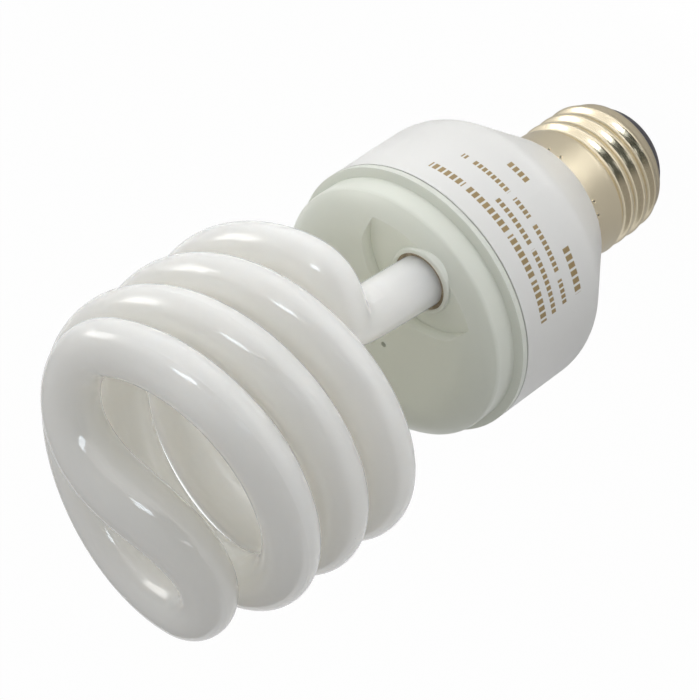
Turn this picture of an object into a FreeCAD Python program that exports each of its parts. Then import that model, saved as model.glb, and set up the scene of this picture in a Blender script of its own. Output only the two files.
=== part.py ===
import FreeCAD, Part
import math
import os

# Spiral energy saving bulb with a screw base, in millimetres and degrees.
# The origin is the foot of the centre contact, +Z runs up the bulb's axis to the tip of the spiral,
# and X runs through the two holes in which the legs of the tube stand.

# Screw base
BASE_HEIGHT = 28.5
CONTACT_RADIUS = 4.8
CONTACT_THICKNESS = 1.1
CONTACT_EDGE = 0.6
NOSE_RADIUS = 5.8
NOSE_BULGE = 1.0
INSULATOR_HEIGHT = 6.9
INSULATOR_HOLE_RADIUS = 0.9
INSULATOR_HOLE_FLARE = 1.2
INSULATOR_WELL_WALL = 2.9
INSULATOR_FLOOR = 2.1
SHELL_WALL = 0.35
SHELL_SKIRT_RADIUS = 13.05
SHELL_SKIRT_LENGTH = 8.0
SHELL_CREST_RADIUS = 13.2
SHELL_THREAD_DEPTH = 0.9
SHELL_PITCH = 3.629
SHELL_THREAD_PHASE = 130.0
SHELL_FOOT_HEIGHT = 5.8
SHELL_LIP_WIDTH = 1.4
SHELL_LIP_FLAT = 0.5
SHELL_THREAD_END = 8.2

# Housing of the ballast
NECK_RADIUS = 15.8
HOUSING_RADIUS = 26.0
HOUSING_LENGTH = 33.3
SHOULDER_HEIGHT = 14.0
SHOULDER_FILLET = 8.3
HOUSING_WALL = 1.8
NECK_FLOOR = 2.0
SPIGOT_LENGTH = 13.5
SPIGOT_WALL = 1.3
SPIGOT_TAPER = 1.0
SPIGOT_CLEARANCE = 0.12
RIB_WIDTH = 1.6
RIB_DEPTH = 2.7
RIB_LENGTH = 8.0
CATCH_WIDTH = 6.0
CATCH_HEIGHT = 1.6
CATCH_DEPTH = 0.7
CATCH_DROP = 4.0
CATCH_CLEARANCE = 0.15

# Holder of the tube
FLANGE_THICKNESS = 1.4
FLANGE_SLOPE = 0.6
SEAM_GAP = 0.35
SEAM_DEPTH = 0.8
STEP_WIDTH = 1.6
HOLDER_WALL = 2.0
HOLDER_RISE = 10.6
HOLDER_SIDE_HEIGHT = 6.2
HOLDER_DOME_WIDTH = 8.4
HOLDER_EDGE_RADIUS = 1.2
SKIRT_CLEARANCE = 0.2
SKIRT_WALL = 1.6
POCKET_DEPTH = 1.6
POCKET_RADIUS = 13.4
POCKET_OFFSET = 20.9
POCKET_DIRECTION = 2.9
POCKET_FLARE = 0.8
COLLAR_HEIGHT = 0.7
COLLAR_WALL = 0.8
COLLAR_EDGE = 0.3
SOCKET_DEPTH = 2.3
VENT_RADIUS = 0.55
VENT_CIRCLE_RADIUS = 4.0
VENT_DIRECTION = 44.0
VENT_SPREAD = 41.0

# Glass tube
TUBE_RADIUS = 4.85
SPIRAL_RADIUS = 25.4
SPIRAL_PITCH = 23.5
SPIRAL_START = 36.2
SPIRAL_SWEEP = 554.5
SPIRAL_CLEARANCE = 20.3
TIP_RISE = 4.9
TIP_BULGE = 0.9
TIP_BULGE_LENGTH = 26.0
TIP_DIRECTION = 240.6
TIP_REACH_OUT = 8.5
TIP_REACH_IN = 12.6
TIP_SHOULDER_INSET = 3.6
TIP_SHOULDER_TURN = 51.9
TIP_SHOULDER_RISE = 1.4
LEG_RADIUS = 16.3
LEG_HEIGHT = 11.5
LEG_DEPTH = 6.5
LEG_LEAN_IN = 0.05
LEG_LEAN_ROUND = 0.06
LEG_BEND_FULLNESS = 0.74
LEG_BEND_APPROACH = 0.79
LEG_CLEARANCE = 0.65
PINCH_RADIUS = 3.2
CEMENT_SINK = 0.25
CEMENT_DEPTH = 3.4
SPIRAL_STEPS = 12
BRIDGE_STEPS = 9

# Circuit board and what stands on it
BOARD_THICKNESS = 1.6
BOARD_CLEARANCE = 0.5
BOARD_DROP = 6.7
LEAD_RADIUS = 0.4
LEAD_BEND = 0.8
LEAD_SWEEP = 2.0
PIN_SIZE = 0.8
PIN_HEIGHT = 5.5
PIN_OFFSET = 5.5
FILAMENT_LEAD_RADIUS = 0.25
FILAMENT_LEAD_SPACING = 3.2
FILAMENT_LEAD_HEIGHT = 3.6
BUS_CAP_RADIUS = 6.0
BUS_CAP_LENGTH = 22.0
BUS_CAP_EDGE = 0.8
BUS_CAP_LEAD_PITCH = 5.0
BUS_CAP_STANDOFF = 13.0
CHOKE_DIRECTION = -90.0
CHOKE_INSET = 10.2
CHOKE_WIDTH = 16.0
CHOKE_HEIGHT = 16.0
CHOKE_DEPTH = 5.0
CHOKE_LEG = 4.0
CHOKE_YOKE = 3.0
CHOKE_STANDOFF = 1.0
CHOKE_CLEARANCE = 0.1
BOBBIN_WALL = 0.6
BOBBIN_FLANGE = 0.8
BOBBIN_DEPTH = 12.0
BOBBIN_PIN_SIZE = 0.7
WINDING_MARGIN = 0.5
WINDING_EDGE = 1.2
RING_DIRECTION = 12.1
RING_INSET = 9.9
RING_RADIUS = 4.8
RING_BORE_RADIUS = 2.6
RING_HEIGHT = 3.2
RING_WIRE = 0.6
RING_TURNS = 9
RING_GROUPS = 3
RING_TURN_STEP = 24.0
RING_CLEARANCE = 0.05
TRANSISTOR_INSET = 9.7
TRANSISTOR_SPACING = 10.0
TRANSISTOR_SIZE = (3.2, 8.0, 11.0)
TRANSISTOR_STANDOFF = 4.0
TRANSISTOR_LEAD_PITCH = 2.3
TRANSISTOR_EDGE = 0.3
RESONANT_CAP_DIRECTION = 77.9
RESONANT_CAP_INSET = 9.9
RESONANT_CAP_SIZE = (12.0, 5.0, 9.0)
FILM_CAP_DIRECTIONS = (-34.7, 121.3)
FILM_CAP_INSET = 8.1
FILM_CAP_SIZE = (7.0, 4.0, 7.0)
FILM_CAP_EDGE = 0.8
FILM_CAP_STANDOFF = 1.0
DRUM_DIRECTION = 227.1
DRUM_INSET = 5.1
DRUM_RADIUS = 4.0
DRUM_HUB_RADIUS = 1.8
DRUM_HEIGHT = 8.0
DRUM_FLANGE = 1.2
DRUM_WINDING_RADIUS = 3.5
DRUM_STANDOFF = 0.8
LEAD_SINK = 0.8
SMALL_PART_XS = (-7.5, -2.5, 2.5, 7.5)
SMALL_PART_ROW = 10.0
SMALL_PART_SPAN = 10.0
SMALL_PART_EDGE = 0.25
DIODE_SIZE = (1.35, 5.2)
RESISTOR_SIZE = (1.15, 6.2)
DIAC_SIZE = (0.95, 3.8)
DIAC_SPAN = 7.5
SIDE_LEAD_DIRECTION = 135.0
FUSE_RADIUS = 1.6
FUSE_LENGTH = 8.0
FUSE_EDGE = 0.3
FUSE_CLEARANCE = 0.74
FUSE_RISE = 5.0
LEAD_LIFT = 0.5
LIVE_LEAD_RISE = 2.0
LIVE_LEAD_DROP = 1.5

# Heights and radii that follow from the sizes above
RIM_Z = BASE_HEIGHT + HOUSING_LENGTH
STEP_Z = RIM_Z + FLANGE_THICKNESS + FLANGE_SLOPE
FACE_Z = RIM_Z + HOLDER_RISE
POCKET_Z = FACE_Z - POCKET_DEPTH
INSIDE_RADIUS = HOUSING_RADIUS - HOUSING_WALL
DISC_RADIUS = HOUSING_RADIUS - STEP_WIDTH
SKIRT_RADIUS = INSIDE_RADIUS - SKIRT_CLEARANCE
BOARD_TOP_Z = RIM_Z - BOARD_DROP
BOARD_Z = BOARD_TOP_Z - BOARD_THICKNESS
BOARD_RADIUS = INSIDE_RADIUS - BOARD_CLEARANCE
SHELL_ROOT_RADIUS = SHELL_CREST_RADIUS - SHELL_THREAD_DEPTH
SHELL_MOUTH_RADIUS = SHELL_ROOT_RADIUS - SHELL_LIP_WIDTH
INSULATOR_TOP = CONTACT_THICKNESS + INSULATOR_HEIGHT
SPIGOT_RADIUS = SHELL_SKIRT_RADIUS - SHELL_WALL - SPIGOT_CLEARANCE
SPIGOT_TIP_RADIUS = SHELL_ROOT_RADIUS - SHELL_WALL - SPIGOT_CLEARANCE
SPIGOT_BORE_RADIUS = SPIGOT_TIP_RADIUS - SPIGOT_WALL
SPIGOT_FOOT_Z = BASE_HEIGHT - SPIGOT_LENGTH
LEAD_TURN_Z = (SPIGOT_FOOT_Z + INSULATOR_TOP) / 2 + LEAD_LIFT
FUSE_FOOT_Z = SPIGOT_FOOT_Z + FUSE_RISE
SIDE_LEAD_RADIUS = BUS_CAP_RADIUS + FUSE_CLEARANCE + FUSE_RADIUS
HOLE_RADIUS = TUBE_RADIUS + LEG_CLEARANCE
SPIRAL_START_Z = FACE_Z + SPIRAL_CLEARANCE
SPIRAL_END_Z = SPIRAL_START_Z + SPIRAL_PITCH * SPIRAL_SWEEP / 360.0
TIP_Z = SPIRAL_END_Z + TIP_RISE

X_AXIS = FreeCAD.Vector(1, 0, 0)
Y_AXIS = FreeCAD.Vector(0, 1, 0)
Z_AXIS = FreeCAD.Vector(0, 0, 1)
CENTRE = FreeCAD.Vector(0, 0, 0)


def vec(x, y, z):
    return FreeCAD.Vector(x, y, z)


def unit(v):
    return v * (1.0 / v.Length)


def polar(radius, degrees, z):
    angle = math.radians(degrees)
    return vec(radius * math.cos(angle), radius * math.sin(angle), z)


def half_turn(shape):
    """The same shape on the other side of the bulb's axis."""
    other = shape.copy()
    other.rotate(CENTRE, Z_AXIS, 180)
    return other


def box(centre, size):
    """A box that stands on centre: centre is the middle of its lower face."""
    corner = vec(centre[0] - size[0] / 2, centre[1] - size[1] / 2, centre[2])
    return Part.makeBox(size[0], size[1], size[2], corner)


def rounded_box(centre, size, edge):
    body = box(centre, size)
    return body.makeFillet(edge, body.Edges)


def revolved(edges):
    """The solid that a closed profile in the XZ plane sweeps round the bulb's axis."""
    face = Part.Face(Part.Wire(Part.__sortEdges__(edges)))
    return face.revolve(CENTRE, Z_AXIS, 360)


def polyline(points):
    """Edges through (radius, height) points in the XZ plane."""
    corners = [vec(r, 0, z) for r, z in points]
    return [Part.LineSegment(a, b).toShape() for a, b in zip(corners, corners[1:])]


def ring(outer, inner, low, high):
    disc = Part.makeCylinder(outer, high - low, vec(0, 0, low))
    return disc.cut(Part.makeCylinder(inner, high - low, vec(0, 0, low)))


# A round rod is carried along its path: each stretch is a straight run or an arc that touches its neighbours


def arc_from(start, tangent, end):
    """Centre, axis and angle of the arc that leaves start along tangent to end, or None if straight."""
    chord = end - start
    normal = tangent.cross(chord)
    if normal.Length < 1e-7 * chord.Length:
        return None
    axis = unit(normal)
    inward = axis.cross(tangent)
    radius = chord.dot(chord) / (2 * chord.dot(inward))
    angle = 2 * math.atan2(chord.dot(inward), chord.dot(tangent))
    return start + inward * radius, axis, math.degrees(angle)


def arc_pair(start, tangent, end, end_tangent):
    """Two arcs that touch, from start to end with the given tangents, each as (tangent, end)."""
    chord = end - start
    both = tangent + end_tangent
    a = 2 * (1 - tangent.dot(end_tangent))
    b = 2 * chord.dot(both)
    c = chord.dot(chord)
    reach = (-b + math.sqrt(b * b + 4 * a * c)) / (2 * a) if a > 1e-9 else c / b
    first = start + tangent * reach
    second = end - end_tangent * reach
    return ((tangent, (first + second) * 0.5), (unit(second - first), end))


def closed_solid(faces):
    """The solid that faces enclose."""
    shell = Part.makeShell(faces)
    shell.sewShape()
    solid = Part.makeSolid(shell)
    if solid.Volume < 0:
        solid.reverse()
    return solid


def rod_skin(stations, radius):
    """First end and side of a rod along stations, each a point and a direction, and its last section."""
    start, direction = stations[0]
    section = Part.Wire([Part.makeCircle(radius, start, direction)])
    faces = [Part.Face(section)]
    for (p, t), (q, u) in zip(stations, stations[1:]):
        here = p
        for tangent, end in arc_pair(p, t, q, u):
            turn = arc_from(here, tangent, end)
            if turn is None:
                faces += section.extrude(end - here).Faces
                section = section.copy()
                section.translate(end - here)
            else:
                faces += section.revolve(*turn).Faces
                section = section.copy()
                section.rotate(*turn)
            here = end
    return faces, section


def rod(stations, radius):
    faces, section = rod_skin(stations, radius)
    return closed_solid(faces + [Part.Face(section)])


def bent_stations(points, bend):
    """Stations of straight runs through points, with the corners rounded to the bend radius."""
    stations = [(points[0], unit(points[1] - points[0]))]
    for before, corner, after in zip(points, points[1:], points[2:]):
        into = unit(corner - before)
        out = unit(after - corner)
        cut = bend * math.tan(into.getAngle(out) / 2)
        stations.append((corner - into * cut, into))
        stations.append((corner + out * cut, out))
    stations.append((points[-1], stations[-1][1]))
    return stations


def bent_lead(points, radius, bend=LEAD_BEND):
    return rod(bent_stations(points, bend), radius)


# Screw base


def centre_contact():
    points = [
        (0, 0),
        (CONTACT_RADIUS - CONTACT_EDGE, 0),
        (CONTACT_RADIUS, CONTACT_EDGE),
        (CONTACT_RADIUS, CONTACT_THICKNESS),
        (0, CONTACT_THICKNESS),
        (0, 0),
    ]
    return revolved(polyline(points))


def base_insulator():
    """Dark dome between the contact and the shell, hollow inside, with a hole for the live lead."""
    nose = vec(NOSE_RADIUS, 0, CONTACT_THICKNESS)
    foot = vec(SHELL_MOUTH_RADIUS, 0, SHELL_FOOT_HEIGHT - SHELL_WALL)
    outward = unit(vec(foot.z - nose.z, 0, nose.x - foot.x))
    flank = Part.Arc(nose, (nose + foot) * 0.5 + outward * NOSE_BULGE, foot).toShape()
    well_floor = CONTACT_THICKNESS + INSULATOR_FLOOR
    rest = polyline(
        [
            (SHELL_MOUTH_RADIUS, foot.z),
            (SHELL_MOUTH_RADIUS, INSULATOR_TOP),
            (SHELL_MOUTH_RADIUS - INSULATOR_WELL_WALL, INSULATOR_TOP),
            (INSULATOR_HOLE_RADIUS + INSULATOR_HOLE_FLARE, well_floor),
            (INSULATOR_HOLE_RADIUS, well_floor),
            (INSULATOR_HOLE_RADIUS, CONTACT_THICKNESS),
            (NOSE_RADIUS, CONTACT_THICKNESS),
        ]
    )
    return revolved([flank] + rest)


# The rolled shell is one smooth sheet: a plain skirt, the thread, and a lip turned in under the insulator

SHELL_STEPS_PER_PITCH = 10
SHELL_STEPS_ROUND = 32


def thread_share(z):
    """How far the thread stands out at a height: 0 on the skirt and the lip, 1 between them."""
    top = BASE_HEIGHT - SHELL_SKIRT_LENGTH
    rise = min(max((top - z) / (SHELL_PITCH / 2), 0), 1)
    fall = min(max((z - SHELL_THREAD_END + SHELL_PITCH / 4) / (SHELL_PITCH / 2), 0), 1)
    share = min(rise, fall)
    return share * share * (3 - 2 * share)


def thread_radius(z, degrees):
    """Radius of the shell's outside, with the thread's wave made higher by what smoothing takes off."""
    smoothing = 3 / (2 + math.cos(2 * math.pi / SHELL_STEPS_PER_PITCH))
    mean = SHELL_CREST_RADIUS - SHELL_THREAD_DEPTH / 2
    wave = smoothing * SHELL_THREAD_DEPTH / 2
    phase = math.radians(360 * (z - BASE_HEIGHT) / SHELL_PITCH - degrees + SHELL_THREAD_PHASE)
    plain = SHELL_SKIRT_RADIUS if z > SHELL_THREAD_END + SHELL_PITCH / 2 else SHELL_ROOT_RADIUS
    share = thread_share(z)
    return plain * (1 - share) + (mean + wave * math.cos(phase)) * share


def shell_profile(degrees):
    """Outside of the shell from its top edge down to its mouth, as (radius, height) at one angle."""
    lip_start = SHELL_THREAD_END - SHELL_PITCH / 4
    lip = lip_start - SHELL_FOOT_HEIGHT
    count = math.ceil((BASE_HEIGHT - lip_start) * SHELL_STEPS_PER_PITCH / SHELL_PITCH)
    points = []
    for i in range(count + 1):
        z = BASE_HEIGHT - (BASE_HEIGHT - lip_start) * i / count
        points.append((thread_radius(z, degrees), z))
    flat_radius = SHELL_MOUTH_RADIUS + SHELL_LIP_FLAT
    reach = points[-1][0] - flat_radius
    for along in (30, 60, 90):
        angle = math.radians(along)
        rise = lip * (1 - math.sin(angle))
        points.append((flat_radius + reach * math.cos(angle), SHELL_FOOT_HEIGHT + rise))
    points.append((SHELL_MOUTH_RADIUS, SHELL_FOOT_HEIGHT))
    return points


def inset_profile(points, depth):
    """The profile moved inwards by depth, square to itself."""
    moved = []
    last = len(points) - 1
    for i, (r, z) in enumerate(points):
        before = points[max(i - 1, 0)]
        after = points[min(i + 1, last)]
        if i == 0:
            before = (r, z + 1)
            after = (r, z - 1)
        if i == last:
            before = points[i - 1]
            after = (2 * r - before[0], 2 * z - before[1])
        dr = after[0] - before[0]
        dz = after[1] - before[1]
        length = math.hypot(dr, dz)
        moved.append((r + dz / length * depth, z - dr / length * depth))
    return moved


def shell_surface(depth):
    """The smooth closed sheet through the shell's profiles, inset by depth from its outside."""
    swell = 3 / (2 + math.cos(2 * math.pi / SHELL_STEPS_ROUND))
    grid = []
    for i in range(SHELL_STEPS_ROUND):
        degrees = 360.0 * i / SHELL_STEPS_ROUND
        profile = inset_profile(shell_profile(degrees), depth) if depth else shell_profile(degrees)
        grid.append([polar(r * swell, degrees, z) for r, z in profile])
    along = len(grid[0])
    surface = Part.BSplineSurface()
    surface.buildFromPolesMultsKnots(
        grid,
        [1] * (SHELL_STEPS_ROUND + 1),
        [4] + [1] * (along - 4) + [4],
        list(range(SHELL_STEPS_ROUND + 1)),
        list(range(along - 2)),
        True,
        False,
        3,
        3,
    )
    return surface.toShape()


def end_circles(face):
    """The upper and the lower round edge of a shell surface."""
    circles = [e for e in face.Edges if e.isClosed() or len(e.Vertexes) == 1]
    circles.sort(key=lambda e: e.CenterOfMass.z)
    return circles[-1], circles[0]


def screw_shell():
    outside = shell_surface(0)
    inside = shell_surface(SHELL_WALL)
    outer_top, outer_foot = end_circles(outside)
    inner_top, inner_foot = end_circles(inside)
    top = Part.makeRuledSurface(outer_top, inner_top)
    foot = Part.makeRuledSurface(outer_foot, inner_foot)
    return closed_solid([outside, inside] + top.Faces + foot.Faces)


# Housing


def housing_outline(inset, top):
    """Start and edges of the housing's cone, shoulder and side, moved inwards by inset, up to a height."""
    run = HOUSING_RADIUS - NECK_RADIUS
    slope = math.hypot(run, SHOULDER_HEIGHT)
    inward = vec(-SHOULDER_HEIGHT / slope, 0, run / slope)
    along = vec(run / slope, 0, SHOULDER_HEIGHT / slope)
    height = (SHOULDER_FILLET * slope + (run - SHOULDER_FILLET) * SHOULDER_HEIGHT) / run
    middle = vec(HOUSING_RADIUS - SHOULDER_FILLET, 0, BASE_HEIGHT + height)
    radius = SHOULDER_FILLET - inset
    cone_end = middle - inward * radius
    start = vec(NECK_RADIUS, 0, BASE_HEIGHT) + inward * inset
    if inset:
        start = start + along * ((BASE_HEIGHT + NECK_FLOOR - start.z) / along.z)
    side_start = middle + X_AXIS * radius
    halfway = middle + unit(X_AXIS - inward) * radius
    return (
        start,
        [
            Part.LineSegment(start, cone_end).toShape(),
            Part.Arc(cone_end, halfway, side_start).toShape(),
            Part.LineSegment(side_start, vec(side_start.x, 0, top)).toShape(),
        ],
    )


def housing_body():
    """Cup with a hollow spigot that carries the screw shell."""
    outer_start, outer = housing_outline(0, RIM_Z)
    inner_start, inner = housing_outline(HOUSING_WALL, RIM_Z)
    shoulder_z = BASE_HEIGHT - SHELL_SKIRT_LENGTH + SHELL_WALL
    path = [
        (inner_start.x, inner_start.z),
        (SPIGOT_BORE_RADIUS, inner_start.z),
        (SPIGOT_BORE_RADIUS, SPIGOT_FOOT_Z),
        (SPIGOT_TIP_RADIUS, SPIGOT_FOOT_Z),
        (SPIGOT_TIP_RADIUS, shoulder_z - SPIGOT_TAPER),
        (SPIGOT_RADIUS, shoulder_z),
        (SPIGOT_RADIUS, BASE_HEIGHT),
        (outer_start.x, outer_start.z),
    ]
    rim = polyline([(HOUSING_RADIUS, RIM_Z), (INSIDE_RADIUS, RIM_Z)])
    return revolved(outer + inner + rim + polyline(path))


def ballast_housing():
    """Housing with four ribs for the board and four recesses for the holder's catches."""
    body = housing_body()
    rib_reach = RIB_DEPTH + HOUSING_WALL / 2
    rib_size = (rib_reach, RIB_WIDTH, RIB_LENGTH)
    rib_centre = (INSIDE_RADIUS - RIB_DEPTH + rib_reach / 2, 0, BOARD_Z - RIB_LENGTH)
    recess_depth = CATCH_DEPTH + CATCH_CLEARANCE
    recess_size = (recess_depth * 2, CATCH_WIDTH + 4 * CATCH_CLEARANCE, CATCH_HEIGHT + 2 * CATCH_CLEARANCE)
    recess_centre = (INSIDE_RADIUS, 0, RIM_Z - CATCH_DROP - CATCH_CLEARANCE)
    for i in range(4):
        rib = box(rib_centre, rib_size)
        rib.rotate(CENTRE, Z_AXIS, 90 * i)
        body = body.fuse(rib)
    for i in range(4):
        recess = box(recess_centre, recess_size)
        recess.rotate(CENTRE, Z_AXIS, 90 * i + 45)
        body = body.cut(recess)
    return body.removeSplitter()


# Holder


def dome_edges(inset):
    """Side's upper end, rounded edge and dome of the cap, moved inwards by inset, up to the flat face."""
    rise = FACE_Z - RIM_Z - HOLDER_SIDE_HEIGHT
    outer_radius = (HOLDER_DOME_WIDTH**2 + rise**2) / (2 * rise)
    centre = vec(DISC_RADIUS - HOLDER_DOME_WIDTH, 0, FACE_Z - outer_radius)
    radius = outer_radius - inset
    edge_x = DISC_RADIUS - inset - HOLDER_EDGE_RADIUS
    edge_height = math.sqrt((radius - HOLDER_EDGE_RADIUS) ** 2 - (edge_x - centre.x) ** 2)
    edge_centre = vec(edge_x, 0, centre.z + edge_height)
    outward = unit(edge_centre - centre)
    side_end = edge_centre + X_AXIS * HOLDER_EDGE_RADIUS
    dome_start = centre + outward * radius
    crown = centre + Z_AXIS * radius
    edge_middle = edge_centre + unit(X_AXIS + outward) * HOLDER_EDGE_RADIUS
    dome_middle = centre + unit(outward + Z_AXIS) * radius
    arcs = [Part.Arc(side_end, edge_middle, dome_start), Part.Arc(dome_start, dome_middle, crown)]
    return side_end, [arc.toShape() for arc in arcs], crown


def holder_outside():
    side_end, dome, crown = dome_edges(0)
    path = [
        (crown.x, crown.z),
        (0, FACE_Z),
        (0, BOARD_TOP_Z),
        (SKIRT_RADIUS, BOARD_TOP_Z),
        (SKIRT_RADIUS, RIM_Z),
        (HOUSING_RADIUS - SEAM_DEPTH, RIM_Z),
        (HOUSING_RADIUS - SEAM_DEPTH, RIM_Z + SEAM_GAP),
        (HOUSING_RADIUS, RIM_Z + SEAM_GAP),
        (HOUSING_RADIUS, RIM_Z + FLANGE_THICKNESS),
        (DISC_RADIUS, STEP_Z),
        (side_end.x, side_end.z),
    ]
    return revolved(polyline(path) + dome)


def pocket_centre(z):
    return polar(POCKET_OFFSET, POCKET_DIRECTION, z)


def holder_cavity():
    """Hollow of the holder, lower under the two pockets so that the wall stays even."""
    side_end, dome, crown = dome_edges(HOLDER_WALL)
    skirt_inner = SKIRT_RADIUS - SKIRT_WALL
    path = [
        (crown.x, crown.z),
        (0, crown.z),
        (0, BOARD_TOP_Z),
        (skirt_inner, BOARD_TOP_Z),
        (skirt_inner, RIM_Z),
        (side_end.x, STEP_Z),
        (side_end.x, side_end.z),
    ]
    cavity = revolved(polyline(path) + dome)
    under_centre = pocket_centre(POCKET_Z - HOLDER_WALL)
    under = Part.makeCylinder(POCKET_RADIUS + HOLDER_WALL, HOLDER_WALL * 2, under_centre)
    return cavity.cut([under, half_turn(under)])


def holder_pocket():
    """Round scoop about a leg, whose wall leaves the floor upright and flares out to the rim."""
    flare_radius = (POCKET_DEPTH**2 + POCKET_FLARE**2) / (2 * POCKET_FLARE)
    centre = vec(POCKET_RADIUS + flare_radius, 0, POCKET_Z)
    foot = vec(POCKET_RADIUS, 0, POCKET_Z)
    rim = vec(POCKET_RADIUS + POCKET_FLARE, 0, FACE_Z)
    wall = Part.Arc(foot, centre + unit((foot + rim) * 0.5 - centre) * flare_radius, rim).toShape()
    above = FACE_Z + POCKET_DEPTH
    rest = [(rim.x, rim.z), (rim.x, above), (0, above), (0, POCKET_Z), (foot.x, foot.z)]
    scoop = revolved([wall] + polyline(rest))
    scoop.translate(pocket_centre(0))
    return scoop


def leg_socket():
    """Collar round a leg's hole and the sleeve under it."""
    low = POCKET_Z - HOLDER_WALL - SOCKET_DEPTH
    height = POCKET_Z + COLLAR_HEIGHT - low
    collar = Part.makeCylinder(HOLE_RADIUS + COLLAR_WALL, height, vec(LEG_RADIUS, 0, low))
    rim = [e for e in collar.Edges if e.isClosed() and e.CenterOfMass.z > POCKET_Z]
    return collar.makeFillet(COLLAR_EDGE, rim)


def leg_hole():
    low = POCKET_Z - HOLDER_WALL - SOCKET_DEPTH
    return Part.makeCylinder(HOLE_RADIUS, POCKET_Z + COLLAR_HEIGHT - low, vec(LEG_RADIUS, 0, low))


def tube_holder():
    """Cap with a flange, two pockets, two collared holes, small vents and four catches."""
    body = holder_outside().cut(holder_cavity())
    pocket = holder_pocket()
    body = body.cut([pocket, half_turn(pocket)])
    socket = leg_socket()
    body = body.fuse([socket, half_turn(socket)])
    cuts = [leg_hole(), half_turn(leg_hole())]
    for side in (-0.5, 0.5):
        centre = polar(VENT_CIRCLE_RADIUS, VENT_DIRECTION + VENT_SPREAD * side, FACE_Z - 2 * HOLDER_WALL)
        vent = Part.makeCylinder(VENT_RADIUS, 3 * HOLDER_WALL, centre)
        cuts += [vent, half_turn(vent)]
    body = body.cut(cuts)
    catch_size = (CATCH_DEPTH + SKIRT_WALL / 2, CATCH_WIDTH, CATCH_HEIGHT)
    catch_centre = (SKIRT_RADIUS + CATCH_DEPTH - catch_size[0] / 2, 0, RIM_Z - CATCH_DROP)
    for i in range(4):
        catch = box(catch_centre, catch_size)
        catch.rotate(CENTRE, Z_AXIS, 90 * i + 45)
        body = body.fuse(catch)
    return body.removeSplitter()


# Glass tube


def curve_stations(poles, count):
    """Stations along the smooth curve that the poles give."""
    curve = Part.BezierCurve()
    curve.setPoles(poles)
    stations = []
    for i in range(count + 1):
        direction = curve.tangent(i / count)[0]
        stations.append((curve.value(i / count), vec(direction.x, direction.y, direction.z)))
    return stations


def spiral_station(turned):
    """Point and direction of the spiral after it has turned by some degrees."""
    degrees = SPIRAL_START + turned
    point = polar(SPIRAL_RADIUS, degrees, SPIRAL_START_Z + SPIRAL_PITCH * turned / 360)
    sideways = polar(SPIRAL_RADIUS, degrees + 90, SPIRAL_PITCH / (2 * math.pi))
    return point, unit(sideways)


def leg_direction():
    return unit(vec(-LEG_LEAN_IN, LEG_LEAN_ROUND, 1))


def arm_stations():
    """The path of one arm of the tube: from the top of a leg into the spiral and round it."""
    up = leg_direction()
    leg_top = vec(LEG_RADIUS, 0, POCKET_Z) + up * LEG_HEIGHT
    first, first_way = spiral_station(0)
    span = (first - leg_top).Length
    rising = leg_top + up * (span * LEG_BEND_FULLNESS)
    joining = first - first_way * (span * LEG_BEND_APPROACH)
    bend = [leg_top, rising, joining, first]
    stations = curve_stations(bend, 4)[:-1]
    return stations + [spiral_station(SPIRAL_SWEEP * i / SPIRAL_STEPS) for i in range(SPIRAL_STEPS + 1)]


def bridge_stations():
    """The tube's path from the end of one arm, over the axis at the tip, to the end of the other."""
    end = SPIRAL_START + SPIRAL_SWEEP
    last, last_way = spiral_station(SPIRAL_SWEEP)
    shoulder_radius = SPIRAL_RADIUS - TIP_SHOULDER_INSET
    shoulder = polar(shoulder_radius, end + TIP_SHOULDER_TURN, SPIRAL_END_Z + TIP_SHOULDER_RISE)
    tip = vec(0, 0, TIP_Z)
    tip_way = polar(1, end + TIP_DIRECTION, 0)
    poles = [last, last + last_way * TIP_REACH_OUT, shoulder, tip - tip_way * TIP_REACH_IN, tip]
    half = curve_stations(poles, BRIDGE_STEPS)
    back = [(vec(-p.x, -p.y, p.z), vec(t.x, t.y, -t.z)) for p, t in reversed(half[:-1])]
    return half + back


def tube_bridge():
    """Skin of the tube over the tip, which swells towards the axis, as a loft through round sections."""
    stations = bridge_stations()
    along = [0]
    for (p, _), (q, _) in zip(stations, stations[1:]):
        along.append(along[-1] + (q - p).Length)
    sections = []
    before = stations[0][1]
    side = unit(before.cross(Z_AXIS))
    for (point, way), distance in zip(stations, along):
        side = FreeCAD.Rotation(before, way).multVec(side)
        before = way
        share = max(1 - abs(distance - along[-1] / 2) / TIP_BULGE_LENGTH, 0)
        circle = Part.Circle(point, way, TUBE_RADIUS + TIP_BULGE * share * share * (3 - 2 * share))
        circle.XAxis = side
        sections.append(Part.Wire([circle.toShape()]))
    return Part.makeLoft(sections)


def tube_leg():
    """Straight end of the tube, rounded below and pinched flat where the filament's wires come out."""
    up = leg_direction()
    foot = vec(LEG_RADIUS, 0, POCKET_Z)
    middle = foot - up * (LEG_DEPTH - math.sqrt(TUBE_RADIUS**2 - PINCH_RADIUS**2))
    top = foot + up * LEG_HEIGHT
    straight = Part.makeCylinder(TUBE_RADIUS, (top - middle).Length, middle, up)
    ball = Part.makeSphere(TUBE_RADIUS, middle, up)
    below = Part.makeCylinder(2 * TUBE_RADIUS, 2 * TUBE_RADIUS, foot - up * LEG_DEPTH, up * -1)
    return straight.fuse(ball).cut(below).removeSplitter()


def discharge_tube():
    arm, _ = rod_skin(arm_stations(), TUBE_RADIUS)
    other_arm = [half_turn(face) for face in arm]
    leg = tube_leg()
    return closed_solid(arm + tube_bridge().Faces + other_arm).fuse([leg, half_turn(leg)])


def tube_cement(tube):
    """Ring of cement between each leg and its hole."""
    top = POCKET_Z + COLLAR_HEIGHT - CEMENT_SINK
    filling = Part.makeCylinder(HOLE_RADIUS, CEMENT_DEPTH, vec(LEG_RADIUS, 0, top - CEMENT_DEPTH))
    one = filling.cut(tube)
    return Part.makeCompound([one, half_turn(one)])


# Circuit board


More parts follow.
